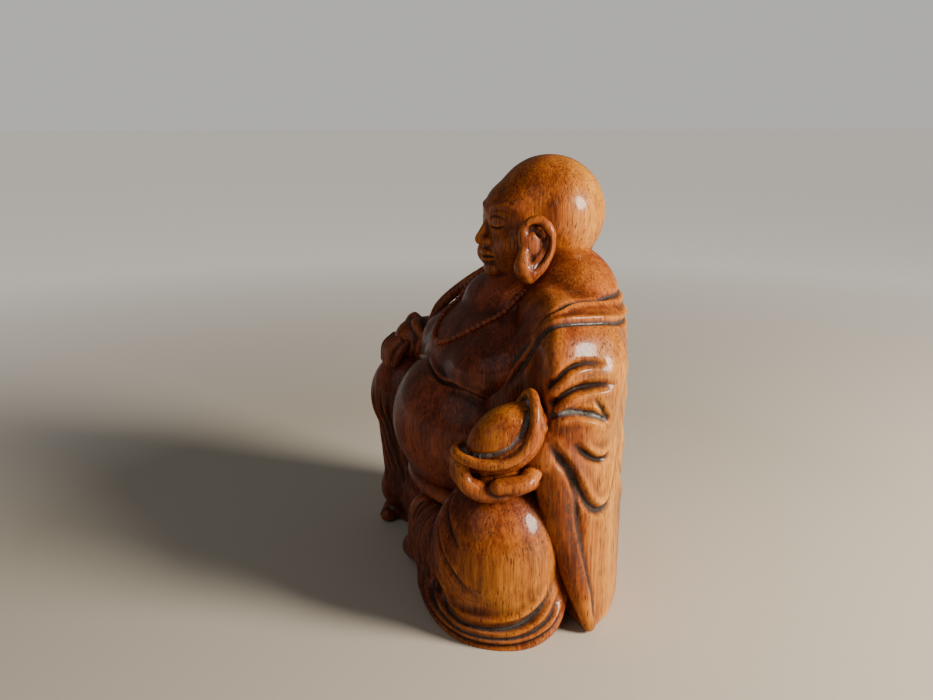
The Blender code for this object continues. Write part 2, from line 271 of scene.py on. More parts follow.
        # eased once more, so that the cut runs smoothly over the mesh
        line = smoothPath(line[np.linspace(0, len(line) - 1, 18).astype(int)], count)
        reach = width*(3.2 if lip else 1.0)
        near = np.flatnonzero(((self.v > line.min(0) - reach) & (self.v < line.max(0) + reach)).all(1))
        if not len(near):
            return
        away = self.v[near][:, None] - line[None]
        far = np.linalg.norm(away, axis=2)
        at = far.argmin(1)
        d = far[np.arange(len(near)), at]
        t = at/(count - 1)
        along = np.gradient(line, axis=0)
        along /= np.linalg.norm(along, axis=1, keepdims=True) + 1e-9
        n = self.n[near]
        end = np.minimum(1, np.minimum((t + 1e-3)/max(fade[0], 1e-3), (1.001 - t)/max(fade[1], 1e-3)))
        end = np.clip(end, 0, 1)**0.8
        end = end*(np.einsum("ij,ij->i", n, normals[at]) > -0.1)
        cut = np.clip(1 - d/width, 0, 1)
        move = -depth*cut**spread*end
        if lip:
            side = np.einsum("ij,ij->i", np.cross(n, along[at]), away[np.arange(len(near)), at])
            s = side*np.sign(lip)/width
            move += abs(lip)*np.exp(-((s - 1.15)/0.75)**2)*(s > 0)*end*np.clip(1.6 - 0.5*d/width, 0, 1)
        self.v[near] += n*move[:, None]
        self.stain[near] = np.maximum(self.stain[near], stain*cut*end*min(1, depth))
        self.dust[near] = np.maximum(self.dust[near], dust*np.clip(1 - d/(0.6*width), 0, 1)*end)
        self.rub[near] = np.maximum(self.rub[near], rub*np.clip(1.4*cut, 0, 1)*end)

    def rubbed(self, centre, radius, amount=1.0):
        # a place worn through the stain, marked for the material
        d = np.linalg.norm((self.v - np.asarray(centre, float))/np.asarray(radius, float), axis=1)
        self.rub = np.maximum(self.rub, amount*np.exp(-d**2))

    def darkened(self, centre, radius, amount=1.0):
        # a place painted darker, the wood's dark stain together with painted shade; a negative amount paints it
        # gold instead, painted light over wear
        d = np.linalg.norm((self.v - np.asarray(centre, float))/np.asarray(radius, float), axis=1)
        self.shade = np.clip(self.shade + amount*np.exp(-d**3), -1, 1)

    def finish(self, *nodes, material, slot, level=0.0):
        # flat base, then the marks are handed to the material and the piece takes its place in the frame
        self.smooth(1)
        # a dark-stained piece with no marks of its own takes the deep palette all over: its own dark stain
        if material is darkWood and not self.shade.any():
            self.shade += 0.92
        if level is not None:
            self.v[:, 2] = np.maximum(self.v[:, 2], level)
        self.place()
        # how far each vertex lies inside its neighbours: the material paints shade in these hollows and lightens
        # the ridges as wear
        hollow = np.einsum("ij,ij->i", self.around(self.v) - self.v, self.n)[:, None]
        for _ in range(3):
            hollow = self.around(hollow)
        for name, values in (("hollow", np.clip(hollow[:, 0]/(0.035*self.grain), -1, 1)),
                             ("stain", self.stain), ("dust", self.dust), ("rub", self.rub),
                             ("shade", self.shade)):
            mark = self.piece.data.attributes.new(name, "FLOAT", "POINT")
            mark.data.foreach_set("value", values.astype(np.float32))
        self.piece.data.materials.clear()
        self.piece.data.materials.append(material)
        self.piece.data.shade_smooth()
        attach(self.piece, "root")
        if nodes:
            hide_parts(*nodes)
        print(self.name, "carved:", sum(len(f.vertices) - 2 for f in self.piece.data.polygons), "triangles")
        return self.piece


class Nodes:
    # one material's nodes
    def __init__(self, name):
        self.material = bpy.data.materials.new(name)
        self.material.use_nodes = True
        self.tree = self.material.node_tree
        self.shader = self.tree.nodes["Principled BSDF"]

    def add(self, kind, settings=None, out=0, **sockets):
        node = self.tree.nodes.new(kind)
        for key, value in (settings or {}).items():
            if key == "stops":
                ramp = node.color_ramp
                while len(ramp.elements) < len(value):
                    ramp.elements.new(0.5)
                for element, (at, colour) in zip(ramp.elements, value):
                    element.position = at
                    element.color = (*colour, 1) if np.ndim(colour) else (colour, colour, colour, 1)
            else:
                setattr(node, key, value)
        for key, value in sockets.items():
            socket = node.inputs[int(key[1:]) if key[0] == "i" and key[1:].isdigit() else key.replace("_", " ")]
            self.feed(socket, value)
        return Value(self, node.outputs[out])

    def feed(self, socket, value):
        if isinstance(value, Value):
            self.tree.links.new(value.socket, socket)
        else:
            socket.default_value = value


class Value:
    # a socket that can be used in sums
    def __init__(self, nodes, socket):
        self.nodes, self.socket = nodes, socket

    def maths(self, operation, a, b=0.0):
        return self.nodes.add("ShaderNodeMath", {"operation": operation}, i0=a, i1=b)

    def __add__(self, other): return self.maths("ADD", self, other)
    def __radd__(self, other): return self.maths("ADD", other, self)
    def __sub__(self, other): return self.maths("SUBTRACT", self, other)
    def __rsub__(self, other): return self.maths("SUBTRACT", other, self)
    def __mul__(self, other): return self.maths("MULTIPLY", self, other)
    def __rmul__(self, other): return self.maths("MULTIPLY", other, self)
    def clamp(self): return self.maths("MINIMUM", self.maths("MAXIMUM", self, 0.0), 1.0)
    def power(self, k): return self.maths("POWER", self, k)


waxedWood = {
    "grainStretch": 0.045,  # how far the grain runs up compared with across
    "poreDepth": 0.16,
    "waxRoughness": 0.40,
    "goldLight": (0.64, 0.29, 0.036), "goldMiddle": (0.40, 0.140, 0.013), "goldDark": (0.15, 0.036, 0.004),
    "warmLight": (0.47, 0.140, 0.013), "warmMiddle": (0.225, 0.045, 0.005), "warmDark": (0.068, 0.010, 0.002),
    "deepLight": (0.26, 0.055, 0.020), "deepMiddle": (0.105, 0.020, 0.008), "deepDark": (0.032, 0.006, 0.003),
    "grooveColour": (0.016, 0.005, 0.002), "scuffColour": (0.045, 0.024, 0.018),
    "dustColour": (0.30, 0.29, 0.26),
}


def stainedWood(name, seed=0.0):
    # stained hardwood: upright grain, dark pores, stain gathered in the grooves with painted shade in every
    # hollow, pale dust in some grooves, and the painted shade and painted gold of the shade mark
    w = waxedWood
    m = Nodes(name)
    place = m.add("ShaderNodeTexCoord", out=3)
    shifted = m.add("ShaderNodeMapping", Vector=place, Location=(seed, 0.37*seed, 0.11*seed))
    wide = m.add("ShaderNodeTexNoise", Vector=m.add("ShaderNodeMapping", Vector=shifted, Scale=(1, 1, 0.12)),
                 Scale=75.0, Detail=5.0, Roughness=0.6, Distortion=0.6)
    fine = m.add("ShaderNodeTexNoise",
                 Vector=m.add("ShaderNodeMapping", Vector=shifted, Scale=(1, 1, w["grainStretch"])),
                 Scale=850.0, Detail=4.0, Roughness=0.65)
    cloud = m.add("ShaderNodeTexNoise", Vector=shifted, Scale=30.0, Detail=5.0, Roughness=0.65)
    poreField = m.add("ShaderNodeTexNoise",
                      Vector=m.add("ShaderNodeMapping", Vector=shifted, Scale=(1, 1, 0.10)),
                      Scale=1150.0, Detail=2.0, Roughness=0.5)
    speck = m.add("ShaderNodeTexNoise", Vector=shifted, Scale=420.0, Detail=3.0, Roughness=0.7)
    mottle = m.add("ShaderNodeTexNoise", Vector=m.add("ShaderNodeMapping", Vector=shifted, Scale=(1, 1, 0.35)),
                   Scale=210.0, Detail=4.0, Roughness=0.75)
    pores = ((0.40 - poreField)*14.0).clamp()
    hollow = m.add("ShaderNodeAttribute", {"attribute_name": "hollow"}, out=2)
    stain = m.add("ShaderNodeAttribute", {"attribute_name": "stain"}, out=2)
    dust = m.add("ShaderNodeAttribute", {"attribute_name": "dust"}, out=2)
    rub = m.add("ShaderNodeAttribute", {"attribute_name": "rub"}, out=2)
    shade = m.add("ShaderNodeAttribute", {"attribute_name": "shade"}, out=2)
    # the tone falls in hollows as painted shade and rises on ridges as wear
    tone = ((wide - 0.5)*1.6 + (fine - 0.5)*1.5 + (cloud - 0.5)*1.4 + 0.5 - hollow*0.25).clamp()
    warm = m.add("ShaderNodeValToRGB", {"stops": [(0.0, w["warmDark"]), (0.45, w["warmMiddle"]),
                                                  (1.0, w["warmLight"])]}, Fac=tone)
    deep = m.add("ShaderNodeValToRGB", {"stops": [(0.0, w["deepDark"]), (0.5, w["deepMiddle"]),
                                                  (1.0, w["deepLight"])]}, Fac=tone)
    gold = m.add("ShaderNodeValToRGB", {"stops": [(0.0, w["goldDark"]), (0.42, w["goldMiddle"]),
                                                  (1.0, w["goldLight"])]}, Fac=tone)
    uneven = (cloud - 0.5)*0.9 + ((mottle - 0.54)*2.4).clamp()*0.7
    # the shade mark: below zero it paints gold, painted light over wear; above zero the deep palette, the dark
    # stain together with painted shade
    goldWornAndLit = m.add("ShaderNodeMix", {"data_type": "RGBA"}, out=2, i0=(0.0 - shade - uneven*0.8).clamp(), i6=warm,
                 i7=gold)
    wood = m.add("ShaderNodeMix", {"data_type": "RGBA"}, out=2, i0=(shade + uneven*0.6).clamp(), i6=goldWornAndLit,
                 i7=deep)
    # groove stain together with painted shade in every hollow, both in the groove colour
    grooveStainAndHollowShade = (stain*0.8 + hollow*0.55).clamp()
    lined = m.add("ShaderNodeMix", {"data_type": "RGBA"}, out=2, i0=grooveStainAndHollowShade, i6=wood,
                  i7=(*w["grooveColour"], 1))
    pored = m.add("ShaderNodeMix", {"data_type": "RGBA"}, out=2, i0=pores*0.8, i6=lined,
                  i7=(*w["grooveColour"], 1))
    scuff = (rub*((speck - 0.40)*5.0).clamp()).clamp()
    scuffed = m.add("ShaderNodeMix", {"data_type": "RGBA"}, out=2, i0=scuff*0.75, i6=pored,
                    i7=(*w["scuffColour"], 1))
    powder = (dust*((speck - 0.30)*4.0).clamp()).clamp()
    dusty = m.add("ShaderNodeMix", {"data_type": "RGBA"}, out=2, i0=powder*0.6, i6=scuffed,
                  i7=(*w["dustColour"], 1))
    m.feed(m.shader.inputs["Base Color"], dusty)
    roughness = (w["waxRoughness"] + pores*0.25 + powder*0.35 + grooveStainAndHollowShade*0.15 + (cloud - 0.5)*0.3
                 + (mottle - 0.5)*0.25 + scuff*0.2).clamp()
    m.feed(m.shader.inputs["Roughness"], roughness)
    relief = (fine*0.4 + wide*0.25 - pores*w["poreDepth"]*4.0 + speck*0.22 + rub*speck*1.3)
    bump = m.add("ShaderNodeBump", Height=relief, Strength=0.35, Distance=0.0006)
    m.feed(m.shader.inputs["Normal"], bump)
    m.shader.inputs["Specular IOR Level"].default_value = 0.12
    m.shader.inputs["Coat Weight"].default_value = 0.20
    m.shader.inputs["Coat Roughness"].default_value = 0.12
    return m.material


def bareWood():
    # the pale turned wood of the dowels, its grain along them and fine rings where it was sawn
    m = Nodes("bare wood")
    place = m.add("ShaderNodeTexCoord", out=3)
    grain = m.add("ShaderNodeTexNoise", Vector=m.add("ShaderNodeMapping", Vector=place, Scale=(0.1, 1, 1)),
                  Scale=900.0, Detail=4.0, Roughness=0.6)
    fleck = m.add("ShaderNodeTexNoise", Vector=place, Scale=500.0, Detail=3.0, Roughness=0.6)
    colour = m.add("ShaderNodeValToRGB", {"stops": [(0.25, (0.34, 0.17, 0.065)), (0.75, (0.56, 0.33, 0.14))]},
                   Fac=(grain*0.7 + fleck*0.3).clamp())
    m.feed(m.shader.inputs["Base Color"], colour)
    m.feed(m.shader.inputs["Roughness"], (grain*0.3 + 0.5).clamp())
    m.feed(m.shader.inputs["Normal"], m.add("ShaderNodeBump", Height=grain, Strength=0.25, Distance=0.0003))
    return m.material


warmWood = stainedWood("warm stained wood")
darkWood = stainedWood("dark stained wood", seed=3.1)
paleWood = bareWood()
for name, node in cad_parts.items():
    if name.endswith("_dowel"):
        node.data.materials.clear()
        node.data.materials.append(paleWood)
print("materials made")


robeShape = {
    "halfWidth": [(0, 100), (60, 99.5), (105, 98), (130, 96.5), (146, 93.5), (156, 89), (163, 82), (169, 70),
                  (174, 48)],
    "halfDepth": [(0, 62), (60, 62.5), (105, 63), (135, 64.5), (156, 65), (163, 64), (168, 60.5), (171, 55),
                  (174, 47)],
    "front": [(0, 12), (40, 11), (80, 4), (105, -2), (130, -9), (150, -8), (163, -3), (174, 8)],
    "rightBack": 22,  # the right shoulder sits this much further back
    "axis": 24.0,  # how far behind the middle the radii start
    "corner": 3.0,  # how round the edge between front and back is
}


def robeBody():
    # radii about an upright axis: each the shorter of the one to an ellipse and the one to a flat front,
    # rounded where they meet
    z = np.linspace(0, 174, 90)[:, None]
    a, b, front = [np.interp(z, *np.array(robeShape[key], float).T)
                   for key in ("halfWidth", "halfDepth", "front")]
    u = np.linspace(0, 2*math.pi, 220, endpoint=False)[None, :]
    cy = robeShape["axis"]
    dx, dy = np.cos(u), np.sin(u)
    # where the ray from (0, cy) meets the ellipse (x/a)^2 + (y/b)^2 = 1
    qa, qb, qc = dx**2/a**2 + dy**2/b**2, 2*cy*dy/b**2, cy**2/b**2 - 1
    wall = (-qb + np.sqrt(np.maximum(qb**2 - 4*qa*qc, 1e-6)))/(2*qa)
    front = front + robeShape["rightBack"]*np.clip((z - 90)/40, 0, 1)*np.clip(-dx*1.5, 0, 1)
    flat = np.where(dy < -0.02, (front - cy)/np.minimum(dy, -0.02), 1e3)
    corner = robeShape["corner"]
    r = -corner*np.log(np.exp(-wall/corner) + np.exp(-np.minimum(flat, 400)/corner))
    r = np.maximum(r, 4.0)
    return closedSkin(np.stack([r*dx, cy + r*dy, z + 0*u], -1))


def carveRobe():
    masses = [
        robeBody(),
        *bothSides(ball((60, 21, 137), (31, 25, 31))),
        limb([(62, 14, 156), (53, 3, 140), (44, -8, 114), (46, -6, 92)], [15, 18, 17, 14]),
        limb([(-54, 28, 146), (-51, 12, 134), (-44, -4, 114), (-46, -4, 92)], [15, 17, 17, 14]),
        limb([(74, 20, 136), (79, 14, 116), (82, 2, 106), (84, -6, 99)], [20, 19, 17, 14]),
        limb([(-70, 16, 136), (-78, 8, 120), (-76, -14, 118), (-75, -32, 120)], [21, 19, 18, 15]),
        ball((0, 33, 164), (57, 30, 29)),
    ]
    details = [
        limb([(86, -1, 93), (87.5, 2, 66), (91, 9.5, 34), (95.5, 16.5, 4)], [12, 10.5, 8, 3.5], up=(0, 1, 0)),
        limb([(-74 + 15*math.cos(t), -33 + 1.5*math.sin(5*t), 121 + (14 + math.cos(7*t))*math.sin(t))
              for t in np.linspace(0, 2*math.pi, 41)], [2.6]*41, steps=160, spokes=12),
        limb([(-40, 8, 172), (-44, -8, 161), (-49, -22, 148), (-51, -29, 135)], [3, 3.4, 3.4, 2.6]),
        limb([(-84, -2, 100), (-89, 2, 66), (-92, 8, 34), (-95, 14.5, 5)], [12, 11, 8, 3.5], up=(0, 1, 0)),
    ]
    c = Carving("carved_robe", masses, details, soft=9, grain=1.38, ease=4)
    c.cut(robeStrokes)
    # darker front and far sleeve: the wood's dark stain together with painted shade on the side turned from the
    # lamp, and darker over the tops of the shoulders
    c.darkened((40, -22, 138), (40, 30, 50), 0.95)
    c.darkened((-60, -20, 120), (48, 40, 70), 0.9)
    c.darkened((20, 30, 176), (34, 26, 14), 0.35)
    c.darkened((60, -26, 100), (80, 36, 95), 0.35)
    c.darkened((58, 18, 166), (34, 30, 14), 0.2)
    # painted highlight: the side and back towards the lamp turn gold, painted light over wear
    c.darkened((104, 44, 80), (46, 34, 120), -1)
    c.darkened((10, 70, 80), (100, 26, 120), -0.7)
    c.darkened((97, 8, 50), (10, 9, 60), 0.35)
    c.rubbed((96, 14, 138), (10, 5, 8), 0.9)
    c.rubbed((96, 26, 120), (10, 4, 6), 0.8)
    c.rubbed((95, 4, 92), (10, 7, 8), 0.9)
    return c.finish("robe_back", "left_sleeve", "right_sleeve", material=warmWood, slot="warm_stain")


robeStrokes = [
    # folds that fan out from the crook of the left elbow
    dict(points=[(89, -9, 132), (95, 0, 142), (94, 10, 145), (92, 22, 144)], depth=2.8, width=3.0, lip=-0.9,
         fade=(0.1, 0.5)),
    dict(points=[(90, -9, 123), (96, 0, 131), (96, 12, 134), (92, 28, 133)], depth=4.0, width=3.6, lip=-1.2,
         fade=(0.05, 0.4)),
    dict(points=[(91, -8, 120), (97, 2, 122), (97, 13, 120), (96, 24, 115)], depth=3.2, width=3.4, lip=-1.2,
         fade=(0.05, 0.15), dust=0.8),
    dict(points=[(96, 14, 129), (97, 19, 122), (97, 24, 115)], depth=1.6, width=2.4, fade=(0.5, 0.1)),
    dict(points=[(97, 3, 107), (98, 9, 101), (97, 17, 96), (94, 24, 94), (90, 30, 96)], depth=2.6, width=3.2,
         lip=1.2, fade=(0.3, 0.3)),
    dict(points=[(95, -9, 107), (96, -1, 96), (97, 6, 84), (97, 12, 74), (95, 19, 68), (92, 26, 67),
                 (88, 31, 71), (85, 34, 80), (81, 38, 98)], depth=3.0, width=3.8, lip=1.2, fade=(0.1, 0.5),
         dust=0.08, rub=0.9),
    # the turned-back edge of the hanging sleeve
    dict(points=[(95, 3, 92), (96, 6, 78), (97, 7, 66), (97, 10, 50), (98, 14, 36), (98, 18.5, 22), (98, 20, 8)],
         depth=1.3, width=2.4, fade=(0.15, 0.05), dust=0.15, stain=0.6, spread=1.2, rub=1.0),
    dict(points=[(97, -1, 90), (98, 2, 74), (98, 4, 58), (99, 9, 40), (99, 15, 24)], depth=0.5, width=4.0,
         fade=(0.2, 0.2), stain=0.4, rub=1.0),
    # the collar: a flat band over the shoulders that runs down both sides of the chest
    *[dict(points=[(side*x, y, z) for x, y, z in line], depth=depth, width=2.6, lip=side*lip,
           fade=(0.2, 0.0), dust=0.3, stain=0.7)
      for side in (1, -1) for depth, lip, line in (
          (1.5, -1.3, [(54, -22, 124), (60, -13, 139), (68, -7, 152), (72, 3, 166), (69, 10, 170), (64, 24, 171),
                       (58, 38, 170), (42, 54, 168), (0, 62, 168)]),
          (2.0, 1.3, [(60, -17, 126), (64, -12, 136), (71, -8, 149), (80, -3, 160), (83, 6, 164), (81, 18, 163),
                      (75, 34, 160), (60, 50, 157), (34, 62, 156), (0, 66, 156)]))],
    # soft drapes that hang across the back from shoulder to shoulder, and the upright folds under them
    *[dict(view="back", points=[(-86 + i, z + 44), (-60, z + 18), (-30, z + 4), (0, z), (30, z + 4),
                                (60, z + 18), (86 - i, z + 44)],
           depth=1.7, width=5.5, lip=1.3, fade=(0.3, 0.3), stain=0.55)
      for i, z in ((6, 104), (3, 76), (0, 48))],
    *[dict(view="back", points=[(x, z), (x + 3, 0.5*z), (1.15*x, 2)], depth=1.5, width=6.5, lip=lip,
           fade=(0.6, 0.1), stain=0.4)
      for x, z, lip in ((-58, 62, -1.2), (-24, 46, -0.8), (16, 42, 0.9), (52, 58, 1.2))],
    # the right sleeve: folds from the elbow and the swag under the forearm
    dict(view="right", points=[(-12, 132), (-2, 141), (8, 144), (20, 143)], depth=2.4, width=3, lip=0.9,
         fade=(0.15, 0.5)),
    dict(view="right", points=[(-14, 124), (-2, 131), (10, 134), (26, 132)], depth=3.2, width=3.4, lip=1.0,
         fade=(0.1, 0.45)),
    dict(view="right", points=[(-12, 116), (0, 118), (12, 116), (24, 110)], depth=2.6, width=3.2, lip=1.0,
         fade=(0.1, 0.3)),
    dict(view="right", points=[(-12, 104), (-2, 96), (8, 86), (18, 80), (28, 84), (36, 98)], depth=3, width=3.6,
         lip=-1.0, fade=(0.15, 0.4)),
    dict(view="right", points=[(-8, 92), (0, 78), (8, 64), (18, 58), (28, 62), (34, 76)], depth=2.4, width=3.4,
         lip=-0.9, fade=(0.2, 0.4)),
    dict(view="right", points=[(-3, 92), (1, 74), (6, 52), (11, 34), (16, 16), (17, 1)], depth=3, width=3.2,
         fade=(0.2, 0.05)),
]


def carveHead():
    masses = [
        ball((0, 28, 208), (31, 32, 32)),
        ball((0, 10, 206), (26, 20, 22)),
        ball((0, 11, 192), (27.5, 21, 21)),
        ball((0, 6, 181), (18, 14, 10)),
        ball((0, 12, 178), (22, 17, 9)),
        limb([(0, 29, 189), (0, 25, 160)], [24, 26]),
        *bothSides(ball((15, 3, 193), (11, 10, 10))),
    ]
    details = [
        limb([(0, -6.5, 206), (0, -10, 199), (0, -12.5, 194)], [2.4, 2.8, 3.4]),
        *bothSides(ball((4.2, -9, 193), (3.2, 3.8, 2.8))),
        *bothSides(ball((10.5, -3.2, 203), (6.2, 4.2, 3.7))),
        limb([(-8, -7.6, 186.4), (0, -10.6, 186.9), (8, -7.6, 186.4)], [1.2, 1.9, 1.2], steps=24),
        limb([(-6, -7.4, 183.6), (0, -9.8, 182.9), (6, -7.4, 183.6)], [1.3, 2.2, 1.3], steps=24),
        ball((0, -4, 178.3), (8.5, 6.2, 6.5)),
        *bothSides(
            limb([(29, 1, 200), (30.5, 5, 206), (32, 10.5, 206.5), (33.5, 15, 201), (33.5, 15, 192),
                  (32.5, 10.5, 184), (32.5, 5, 179)], [2.2, 2.5, 2.8, 3.0, 3.2, 4.4, 4.8], steps=50),
            ball((29.5, 6, 195), (4.0, 7, 12), turn=(16, 0, 0)),
            limb([(30.5, 2, 193), (31.5, 1, 187), (32, 1, 182), (32.5, 3.5, 177.5)], [2.2, 3.8, 5.2, 4.6]),
        ),
    ]
    c = Carving("carved_head", masses, details, soft=5, grain=0.75, ease=3)
    c.cut(headStrokes)
    # painted light and shade: the back of the head turns gold, a painted highlight towards the lamp; under the
    # chin and round the nape it is painted shade; the ears are darker
    c.darkened((12, 52, 214), (34, 26, 34), -0.9)
    c.darkened((0, -8, 172), (30, 24, 12), 0.3)
    c.darkened((34, 8, 190), (7, 14, 22), 0.45)
    c.darkened((-34, 8, 190), (7, 14, 22), 0.45)
    c.darkened((0, 30, 178), (40, 40, 9), 0.6)
    return c.finish("head", material=warmWood, slot="warm_stain", level=None)


headStrokes = [
    # calm half-closed eyes, the fold over each, and a quiet mouth
    *[dict(points=[(side*x, y, z) for x, y, z in
                 ((5, -6.5, 202.4), (8, -7.8, 201.2), (11, -7.6, 200.9), (14, -6, 201.4),
                  (17, -3, 202.8))],
           depth=0.9, width=1.0, stain=0.6, lip=side*0.25, fade=(0.2, 0.25)) for side in (1, -1)],
    *[dict(points=[(side*x, y, z) for x, y, z in
                 ((4.5, -7, 205.5), (8, -7, 207), (12, -5, 207.3), (17, -1, 205.5))],
           depth=0.6, width=1.2, stain=0.5, fade=(0.3, 0.3)) for side in (1, -1)],
    *[dict(points=[(side*x, y, z) for x, y, z in
                 ((4, -7, 210), (9, -6.5, 212.3), (15, -2.5, 212.6), (21, 4, 209.5))],
           depth=-1.1, width=2.6, stain=0.0, fade=(0.3, 0.4)) for side in (1, -1)],
    dict(points=[(-9, -6, 185.3), (-4, -9, 184.7), (0, -10.5, 184.9), (4, -9, 184.7), (9, -6, 185.3)],
         depth=0.8, width=1.0, stain=0.6, fade=(0.15, 0.15)),
    *[dict(points=[(side*x, y, z) for x, y, z in ((5, -7.5, 194), (9, -5, 190), (11.5, -3.5, 185))],
           depth=0.5, width=2.2, stain=0.35, fade=(0.3, 0.5)) for side in (1, -1)],
    # the hollow of each ear inside its rim
    *[dict(view="left" if side > 0 else "right",
           points=[(1, 199), (5, 203), (9, 202.5), (11.5, 198), (11, 191), (7, 185), (4, 181)],
           depth=2.8, width=2.8, fade=(0.2, 0.3)) for side in (1, -1)],
]


def carveTorso():
    masses = [
        ball((0, -14, 91), (54, 49.5, 45)),
        ball((0, -14, 74), (50, 43, 30)),
        ball((0, -12, 134), (61, 36, 23), turn=(40, 0, 0)),
        ball((0, 12, 140), (54, 28, 30)),
        ball((0, 6, 156), (38, 27, 21)),
        *bothSides(ball((27, -21, 132), (29, 21, 15.5), turn=(40, 0, 0))),
        limb([(0, 18, 145), (0, 20, 176)], [32, 24]),
        limb([(0, 10, 60), (0, 8, 2)], [40, 40]),
        ball((0, -18, 38), (46, 30, 26)),
    ]
    c = Carving("carved_torso", masses, soft=9, grain=1.15, ease=3)
    line = c.drop("near", necklaceShape["loop"], 240)
    c.cut(torsoStrokes)
    c.shade += 1
    c.darkened((-10, -62, 78), (28, 20, 26), -0.22)
    c.finish("torso", material=darkWood, slot="dark_stain")
    return line


torsoStrokes = [
    # the heavy breasts fold on to the belly
    *[dict(points=[(side*x, y, z) for x, y, z in
                 ((1, -44, 128), (12, -46, 126), (24, -45, 123), (36, -40, 121), (46, -31, 119),
                  (50, -22, 113))],
           depth=1.3, width=1.8, lip=side*0.9, fade=(0.3, 0.2), stain=0.8) for side in (1, -1)],
    # the belly rolls over the waistband
    dict(view="front", points=[(-44, 58), (-24, 50), (0, 48), (24, 50), (44, 58)], depth=2.4, width=3.2, lip=1.0,
         fade=(0.15, 0.15)),
]


def carveLeftLeg():
    masses = [
        ball((67, -23.5, 42), (33.5, 34.5, 41)),
        ball((70, -19, 22), (30, 31, 28)),
        limb([(66, -26, 34), (40, -36, 30), (12, -40, 28)], [28, 22, 17]),
        limb([(34, 4, 46), (62, -16, 46)], [26, 26]),
        limb([(62, -24, 10), (30, -36, 10), (8, -42, 10)], [26, 18, 12]),
        limb([(16, -46, 20), (50, -50, 8), (78, -42, 6), (90, -26, 6), (91, -10, 10), (84, 0, 18)],
             [11, 11, 12, 12, 11, 9], steps=60),
        limb([(2, -44, 34), (2, -46, 12)], [13, 12]),
    ]
    c = Carving("carved_left_leg", masses, soft=6, grain=0.9, ease=3)
    c.cut(leftLegStrokes)
    # darker folds, hem and knee top: the wood's dark stain together with painted shade on the side turned from
    # the lamp, and painted shade between the knee and the robe
    c.darkened((14, -48, 30), (42, 40, 60), 0.85)
    c.darkened((48, -62, 26), (22, 20, 34), 0.7)
    c.darkened((66, -50, 66), (26, 14, 20), 0.4)
    c.darkened((72, -24, 84), (42, 36, 22), 0.75)
    c.darkened((74, 10, 30), (30, 12, 60), 0.5)
    c.darkened((54, -56, 56), (24, 22, 42), 0.45)
    # painted highlight: gold on the knee's side towards the lamp; below it darker towards the bottom
    c.darkened((100, -20, 34), (26, 22, 26), -0.5)
    c.darkened((80, -20, 6), (60, 60, 14), 0.4)
    c.rubbed((88, -10, 66), (14, 8, 11), 0.9)
    c.rubbed((92, -14, 52), (10, 6, 10), 0.7)
    return c.finish("left_leg", material=warmWood, slot="warm_stain")


leftLegStrokes = [
    # two short folds over the front of the knee
    dict(points=[(58, -48, 76), (68, -53, 66), (77, -54, 59), (86, -51, 53)], depth=2.6, width=3.4,
         lip=1.2, fade=(0.2, 0.45)),
    dict(points=[(50, -50, 66), (64, -56, 56), (76, -57, 45), (85, -53, 36), (93, -43, 27)],
         depth=2.8, width=3.8, lip=1.2, fade=(0.2, 0.45)),
    # the trouser cloth gathered round the bottom of the knee in layers
    dict(points=[(40, -48, 66), (46, -56, 50), (56, -60, 34), (68, -60, 20), (82, -54, 13),
                 (94, -40, 11), (100, -24, 14), (100, -10, 22), (95, 0, 34)],
         depth=3.6, width=4.0, lip=1.4, fade=(0.15, 0.2), dust=0.3),
    dict(points=[(32, -46, 64), (37, -56, 46), (46, -60, 30), (60, -62, 15), (78, -57, 8),
                 (94, -42, 6.5), (102, -24, 8), (102, -8, 15), (96, 4, 26)],
         depth=2.8, width=3.2, lip=1.0, fade=(0.15, 0.15), dust=0.2),
    dict(points=[(24, -46, 60), (28, -55, 42), (36, -59, 26), (50, -62, 11), (70, -61, 4),
                 (92, -46, 2.5), (103, -24, 3.5), (103, -6, 9), (97, 6, 18)],
         depth=2.4, width=2.8, lip=0.8, fade=(0.15, 0.1)),
    dict(points=[(16, -48, 56), (18, -55, 40), (24, -58, 24), (36, -60, 10), (48, -61, 3)],
         depth=2.4, width=2.8, lip=0.8, fade=(0.15, 0.2)),
    dict(points=[(8, -50, 50), (8, -56, 38), (12, -58, 24), (20, -59, 11)], depth=2.0, width=2.6,
         lip=0.7, fade=(0.15, 0.3)),
]


def carveRightLeg():
    masses = [
        limb([(-36, 4, 52), (-70, -28, 84)], [28, 25]),
        ball((-74.5, -37.5, 85), (24, 25, 29)),
        limb([(-74, -35, 74), (-72, -35, 40), (-68, -33, 12)], [23.5, 21, 19.5]),
        ball((-50, -24, 22), (32, 26, 26)),
        limb([(-69, -34, 30), (-69, -42, 22)], [17, 17]),
    ]
    c = Carving("carved_right_leg", masses, soft=6, grain=1.0, ease=3)
    c.cut(rightLegStrokes)
    return c.finish("right_leg", material=darkWood, slot="dark_stain")


rightLegStrokes = [
    # long folds that sweep from the knee down to the inside of the shin
    dict(points=[(-88 + 7*i, -50 - i, 98 - 2*i), (-82 + 6*i, -57, 70), (-73 + 5*i, -53, 44),
                 (-64 + 4*i, -48, 22)], depth=2.2, width=3.2, lip=0.9, fade=(0.3, 0.3)) for i in range(5)
]


def carveLeftFoot():
    skins = [
        limb([(14, -42, 16), (2, -48, 12), (-8, -50, 9)], [13, 10, 8.5]),
        ball((-13, -52, 7.5), (4.5, 4.5, 5.0)),
    ]
    c = Carving("carved_left_foot", [], skins, grain=0.7, ease=3)
    return c.finish("left_foot", material=darkWood, slot="dark_stain")


